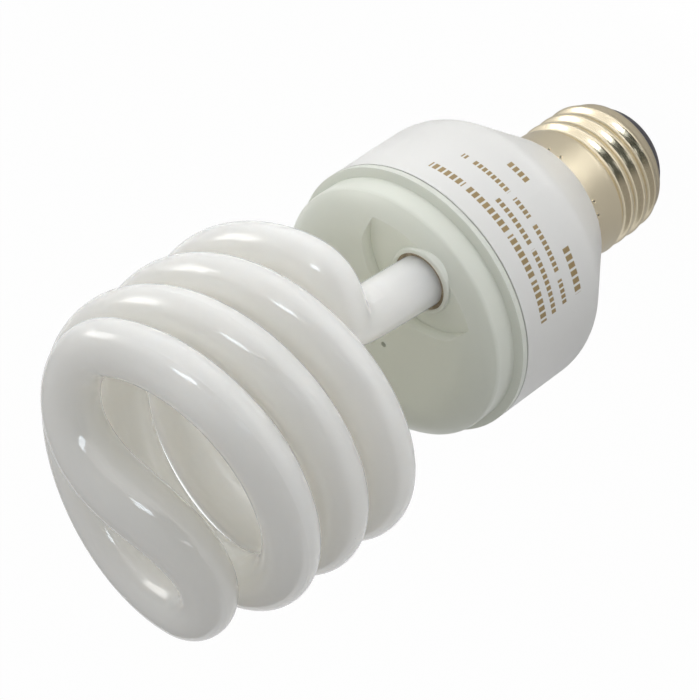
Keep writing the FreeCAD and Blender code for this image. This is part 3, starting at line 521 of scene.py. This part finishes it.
class Workshop:
    """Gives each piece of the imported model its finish."""

    def __init__(self, nodes: dict[str, bpy.types.Object]) -> None:
        """Keeps the nodes and builds the shared effects.

        Args:
            nodes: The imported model's pieces by name.
        """
        self.nodes = nodes
        self.effects = Effects()
        self.materials: dict[Skin, bpy.types.Material] = {}

    def material(self, skin: Skin) -> bpy.types.Material:
        """Gives a skin's material, built the first time it is asked for.

        Args:
            skin: The kind of finish.

        Returns:
            The material.
        """
        if skin not in self.materials:
            self.materials[skin] = skin.value.build(self.effects)
        return self.materials[skin]

    def dress(self) -> None:
        """Puts each node's finish in its material slots."""
        for name, node in self.nodes.items():
            for slot in node.material_slots:
                slot.material = self.material(NODE_SKINS[name])
            LOG.info("dressed %s", name)


@dataclass(frozen=True)
class StakeMarks:
    """The punched marks, in pairs round the skirt, that stake the screw shell to the housing."""

    skirt_mm: float = 13.03
    height_mm: float = 25.4
    rim_mm: float = 0.40
    wire_mm: float = 0.13
    # The pit is a sphere sunk into the skirt by a share of its radius; its near-black colour is painted
    # shade.
    pit_mm: float = 0.34
    pit_sunk: float = 0.75
    first_turn: float = -31.1
    pair_step: float = 57.4
    half_pair: float = 6.0
    pairs: int = 6
    rim_steps: int = 24
    wire_steps: int = 10
    pit_steps: int = 16

    def turns(self) -> list[float]:
        """Gives the place of each mark round the axis, in degrees."""
        middles = [self.first_turn + self.pair_step * pair for pair in range(self.pairs)]
        return [middle + side * self.half_pair for middle in middles for side in (-1.0, 1.0)]

    def mark(self, workshop: Workshop) -> bpy.types.Object:
        """Models one mark, a raised rim round a near-black sphere that is painted shade for the punched pit,
        at the skirt's side towards X.

        Args:
            workshop: The builder of the finishes.

        Returns:
            The mark.
        """
        height = self.height_mm * MM
        bpy.ops.mesh.primitive_torus_add(
            location=(self.skirt_mm * MM, 0.0, height),
            rotation=(0.0, math.pi / 2, 0.0),
            major_segments=self.rim_steps,
            minor_segments=self.wire_steps,
            major_radius=self.rim_mm * MM,
            minor_radius=self.wire_mm * MM,
        )
        rim = bpy.context.object
        rim.data.materials.append(workshop.material(Skin.SHELL))
        # A near-black sphere, sunk into the skirt, stands for the pit as painted shade.
        bpy.ops.mesh.primitive_uv_sphere_add(
            segments=self.pit_steps,
            ring_count=self.pit_steps // 2,
            radius=self.pit_mm * MM,
            location=((self.skirt_mm - self.pit_mm * self.pit_sunk) * MM, 0.0, height),
        )
        pit = bpy.context.object
        pit.data.materials.append(workshop.material(Skin.PIT_SHADE))
        rim.select_set(True)
        bpy.context.view_layer.objects.active = rim
        bpy.ops.object.join()
        bpy.ops.object.transform_apply(location=True, rotation=True, scale=True)
        bpy.ops.object.shade_smooth()
        return rim

    def build(self, workshop: Workshop) -> None:
        """Copies one mark round the skirt and joins the copies.

        Args:
            workshop: The builder of the finishes.
        """
        bpy.ops.object.select_all(action="DESELECT")
        mark = self.mark(workshop)
        first, *others = self.turns()
        for turn in others:
            copy = mark.copy()
            copy.data = mark.data.copy()
            bpy.context.scene.collection.objects.link(copy)
            copy.rotation_euler.z = math.radians(turn)
            copy.select_set(True)
        mark.rotation_euler.z = math.radians(first)
        bpy.ops.object.transform_apply(location=True, rotation=True, scale=True)
        bpy.ops.object.join()
        mark.name = mark.data.name = "stake_marks"
        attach(mark, "root")
        LOG.info("modelled stake_marks")


@dataclass(frozen=True)
class View:
    """The camera, placed by where the neck of the housing stands in the picture."""

    picture: float = 700.0
    focal: float = 3211.0
    sensor_mm: float = 36.0
    nearest: float = 0.01
    neck_pixel: tuple[float, float] = (533.57, 214.51)
    pixels_per_mm: float = 5.463
    tip_towards_camera: float = 35.82
    tip_in_picture: float = 145.23
    turn: float = 84.2
    neck_height_mm: float = 28.5

    def axes(self) -> Matrix:
        """Gives the camera's right, down and forward directions.

        Returns:
            A matrix with these directions, in the bulb's frame, as its rows.
        """
        tilt = math.radians(self.tip_towards_camera)
        swing = math.radians(self.tip_in_picture)
        tip = Vector((math.cos(tilt) * math.cos(swing), math.cos(tilt) * math.sin(swing), -math.sin(tilt)))
        across = Vector((0.0, 0.0, 1.0)).cross(tip).normalized()
        beside = tip.cross(across)
        fitted = Matrix((across, beside, tip)).transposed()
        return fitted @ Matrix.Rotation(-math.radians(self.turn), 3, "Z")

    def direction(self, way: Way) -> Vector:
        """Turns a way in the picture into the bulb's frame.

        Args:
            way: How far it goes right, up and towards the camera.

        Returns:
            The direction, as long as the way.
        """
        right, down, forward = self.axes()
        return right * way[0] - down * way[1] - forward * way[2]

    def place(self) -> Vector:
        """Gives the camera's place in the bulb's frame, in metres.

        Returns:
            The camera's place.
        """
        middle = self.picture / 2
        right = (self.neck_pixel[0] - middle) / self.pixels_per_mm
        down = (self.neck_pixel[1] - middle) / self.pixels_per_mm
        away = self.focal / self.pixels_per_mm
        seen = Vector((right, down, away))
        neck = Vector((0.0, 0.0, self.neck_height_mm))
        return (neck - self.axes().transposed() @ seen) * MM

    def build(self) -> None:
        """Makes the camera and puts it in use."""
        data = bpy.data.cameras.new("camera")
        data.sensor_width = self.sensor_mm
        data.lens = self.sensor_mm * self.focal / self.picture
        data.clip_start = self.nearest
        camera = bpy.data.objects.new("camera", data)
        bpy.context.scene.collection.objects.link(camera)
        right, down, forward = self.axes()
        turn = Matrix((right, -down, -forward)).transposed().to_4x4()
        camera.matrix_world = Matrix.Translation(self.place()) @ turn
        bpy.context.scene.camera = camera


@dataclass(frozen=True)
class Lamp:
    """A soft lamp, placed as the camera sees it. Gloss and metal see the dome's panels in its stead."""

    name: str
    way: Way
    width: float
    height: float
    power: float
    colour: Colour

    def build(self, view: View, middle: Vector) -> None:
        """Makes the lamp and turns it to the bulb.

        Args:
            view: The camera, whose directions place the lamp.
            middle: The point that the lamp shines at.
        """
        way = view.direction(self.way)
        data = bpy.data.lights.new(self.name, "AREA")
        data.shape = "RECTANGLE"
        data.size = self.width
        data.size_y = self.height
        data.energy = self.power
        data.color = self.colour
        lamp = bpy.data.objects.new(self.name, data)
        bpy.context.scene.collection.objects.link(lamp)
        lamp.location = middle + way
        lamp.rotation_euler = way.to_track_quat("Z", "Y").to_euler()
        lamp.visible_glossy = False


LAMPS = (
    Lamp("key", way=(-0.76, 0.62, 0.05), width=0.4, height=0.3, power=0.8, colour=(1.0, 0.98, 0.95)),
    Lamp("window", way=(-0.25, 0.40, 0.88), width=0.3, height=0.2, power=0.04, colour=(0.86, 0.93, 1.0)),
)


@dataclass(frozen=True)
class FloorSpot:
    """A spot straight above the floor beside the bulb: the bulb gets only what the floor throws back."""

    name: str
    turn: float
    reach: float
    cone: float
    power: float
    height: float = 0.6
    blend: float = 0.8
    size: float = 0.02

    def build(self) -> None:
        """Makes the spot."""
        data = bpy.data.lights.new(self.name, "SPOT")
        data.energy = self.power
        data.spot_size = math.radians(self.cone)
        data.spot_blend = self.blend
        data.shadow_soft_size = self.size
        lamp = bpy.data.objects.new(self.name, data)
        bpy.context.scene.collection.objects.link(lamp)
        turn = math.radians(self.turn)
        lamp.location = (self.reach * math.cos(turn), self.reach * math.sin(turn), self.height)
        lamp.visible_glossy = False


FLOOR_SPOTS = (
    FloorSpot("floor_spot_up", turn=60.0, reach=0.26, cone=42.0, power=25.0),
    FloorSpot("floor_spot_right", turn=-10.0, reach=0.2, cone=30.0, power=14.0),
    FloorSpot("floor_spot_base", turn=12.0, reach=0.055, cone=4.2, power=19.0),
)


@dataclass(frozen=True)
class Glint:
    """A bright panel of the room that only gloss and metal mirror."""

    way: Way
    half_long: float
    half_wide: float
    edge: float
    colour: Colour


GLINTS = (
    Glint((-0.76, 0.63, 0.05), half_long=0.22, half_wide=0.16, edge=0.14, colour=(4.4, 4.35, 4.2)),
    Glint((-0.25, 0.38, 0.88), half_long=0.15, half_wide=0.09, edge=0.03, colour=(5.0, 5.5, 6.0)),
    Glint((0.38, 0.02, 0.92), half_long=0.12, half_wide=0.05, edge=0.03, colour=(1.6, 1.7, 1.8)),
)


@dataclass(frozen=True)
class Dome:
    """The soft light of the room, and the room as gloss and metal mirror it, from dim side to bright side."""

    view: View
    bright_way: Way = (-0.1, 0.95, -0.5)
    dim: Colour = (0.335, 0.335, 0.335)
    bright: Colour = (0.82, 0.82, 0.82)
    mirror_way: Way = UP
    mirror_low: Colour = (0.28, 0.27, 0.25)
    mirror_bright: Colour = (1.0, 0.985, 0.96)
    mirror_edges: tuple[float, float] = (0.38, 0.58)
    dark_way: Way = (0.32, 0.14, 0.93)
    dark: Colour = (0.02, 0.025, 0.02)
    dark_edges: tuple[float, float] = (0.80, 0.93)

    def towards(self, sheet: Sheet, way: Way) -> Socket:
        """Measures how far a direction of the room points a given way.

        Args:
            sheet: The world's node sheet.
            way: The way in the picture.

        Returns:
            The cosine's socket.
        """
        axis = tuple(self.view.direction(way).normalized())
        place = sheet.add("ShaderNodeTexCoord").outputs["Generated"]
        product = sheet.add("ShaderNodeVectorMath", {"operation": "DOT_PRODUCT"}, i0=place, i1=axis)
        return product.outputs["Value"]

    def panel(self, sheet: Sheet, glint: Glint) -> Socket:
        """Masks the directions in which a bright panel is seen.

        Args:
            sheet: The world's node sheet.
            glint: The panel.

        Returns:
            The mask's socket.
        """
        way = Vector(glint.way).normalized()
        side = way.cross(Vector(UP)).normalized()
        rise = side.cross(way)
        long_band = sheet.band(self.towards(sheet, tuple(side)), 0.0, glint.half_long, glint.edge / 2)
        wide_band = sheet.band(self.towards(sheet, tuple(rise)), 0.0, glint.half_wide, glint.edge / 2)
        ahead = sheet.math("GREATER_THAN", self.towards(sheet, tuple(way)), 0.0)
        return sheet.math("MULTIPLY", sheet.math("MULTIPLY", long_band, wide_band), ahead)

    def mirrored(self, sheet: Sheet) -> Socket:
        """Paints the room as gloss and metal see it.

        Args:
            sheet: The world's node sheet.

        Returns:
            The colour's socket.
        """
        share = sheet.ramp(self.towards(sheet, self.mirror_way), *self.mirror_edges)
        seen = sheet.blend(share, self.mirror_low, self.mirror_bright)
        shade = sheet.ramp(self.towards(sheet, self.dark_way), *self.dark_edges)
        seen = sheet.blend(shade, seen, self.dark)
        for glint in GLINTS:
            seen = sheet.blend(self.panel(sheet, glint), seen, glint.colour)
        return seen

    def build(self) -> None:
        """Makes the world: soft light, the mirrored room, and white where the camera looks past the floor."""
        world = bpy.data.worlds.new("room")
        world.use_nodes = True
        bpy.context.scene.world = world
        sheet = Sheet(world.node_tree)
        rays = sheet.add("ShaderNodeLightPath").outputs
        share = sheet.ramp(self.towards(sheet, self.bright_way), -1.0, 1.0)
        room = sheet.add("ShaderNodeBackground", Color=sheet.blend(share, self.dim, self.bright))
        mirror = sheet.add("ShaderNodeBackground", Color=self.mirrored(sheet))
        white = sheet.add("ShaderNodeBackground", Color=WHITE)
        inner = sheet.mix(rays["Is Glossy Ray"], room, mirror)
        plain = sheet.math("MAXIMUM", rays["Is Camera Ray"], rays["Is Transmission Ray"])
        sheet.add("ShaderNodeOutputWorld", Surface=sheet.mix(plain, inner, white).outputs[0])


@dataclass(frozen=True)
class Floor:
    """The white floor under the contact. Gloss and metal see it dimmer, and as plain paint near the bulb."""

    radius: float = 1.5
    corners: int = 96
    paint: Colour = (0.92, 0.92, 0.92)
    white: float = 0.98
    mirrored: float = 0.6
    mirror_edges: tuple[float, float] = (0.055, 0.11)

    def material(self) -> bpy.types.Material:
        """Makes white paint that glows where the camera or a reflection sees it.

        Returns:
            The material.
        """
        material = bpy.data.materials.new("white_floor")
        material.use_nodes = True
        sheet = Sheet(material.node_tree)
        rays = sheet.add("ShaderNodeLightPath").outputs
        paint = sheet.add("ShaderNodeBsdfDiffuse", Color=(*self.paint, 1.0))
        glow = sheet.add("ShaderNodeEmission", Color=WHITE, Strength=1.0)
        place = sheet.add("ShaderNodeTexCoord").outputs["Object"]
        reach = sheet.add("ShaderNodeVectorMath", {"operation": "LENGTH"}, i0=place).outputs["Value"]
        far = sheet.math("MULTIPLY", sheet.ramp(reach, *self.mirror_edges), self.mirrored)
        mirrored = sheet.math("MULTIPLY", rays["Is Glossy Ray"], far)
        plain = sheet.math("MAXIMUM", rays["Is Camera Ray"], rays["Is Transmission Ray"])
        seen = sheet.math("MULTIPLY", sheet.math("MAXIMUM", plain, mirrored), self.white)
        sheet.add("ShaderNodeOutputMaterial", Surface=sheet.mix(seen, paint, glow).outputs[0])
        return material

    def build(self) -> None:
        bpy.ops.object.select_all(action="DESELECT")
        bpy.ops.mesh.primitive_circle_add(vertices=self.corners, radius=self.radius, fill_type="NGON")
        floor = bpy.context.object
        floor.name = floor.data.name = "floor"
        floor.data.materials.append(self.material())
        floor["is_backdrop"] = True


@dataclass(frozen=True)
class Studio:
    """The white room: floor, dome, lamps and camera."""

    view: View

    def build(self) -> None:
        """Builds the whole room."""
        low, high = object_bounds()
        middle = (Vector(low) + Vector(high)) / 2
        Floor().build()
        Dome(self.view).build()
        for lamp in LAMPS:
            lamp.build(self.view, middle)
        for spot in FLOOR_SPOTS:
            spot.build()
        self.view.build()
        bpy.context.scene.view_settings.view_transform = "Standard"


def main() -> None:
    """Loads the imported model, dresses it and lights it."""
    logging.basicConfig(level=logging.INFO)
    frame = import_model()
    workshop = Workshop(frame["nodes"])
    workshop.dress()
    StakeMarks().build(workshop)
    Studio(View()).build()


if __name__ == "__main__":
    main()
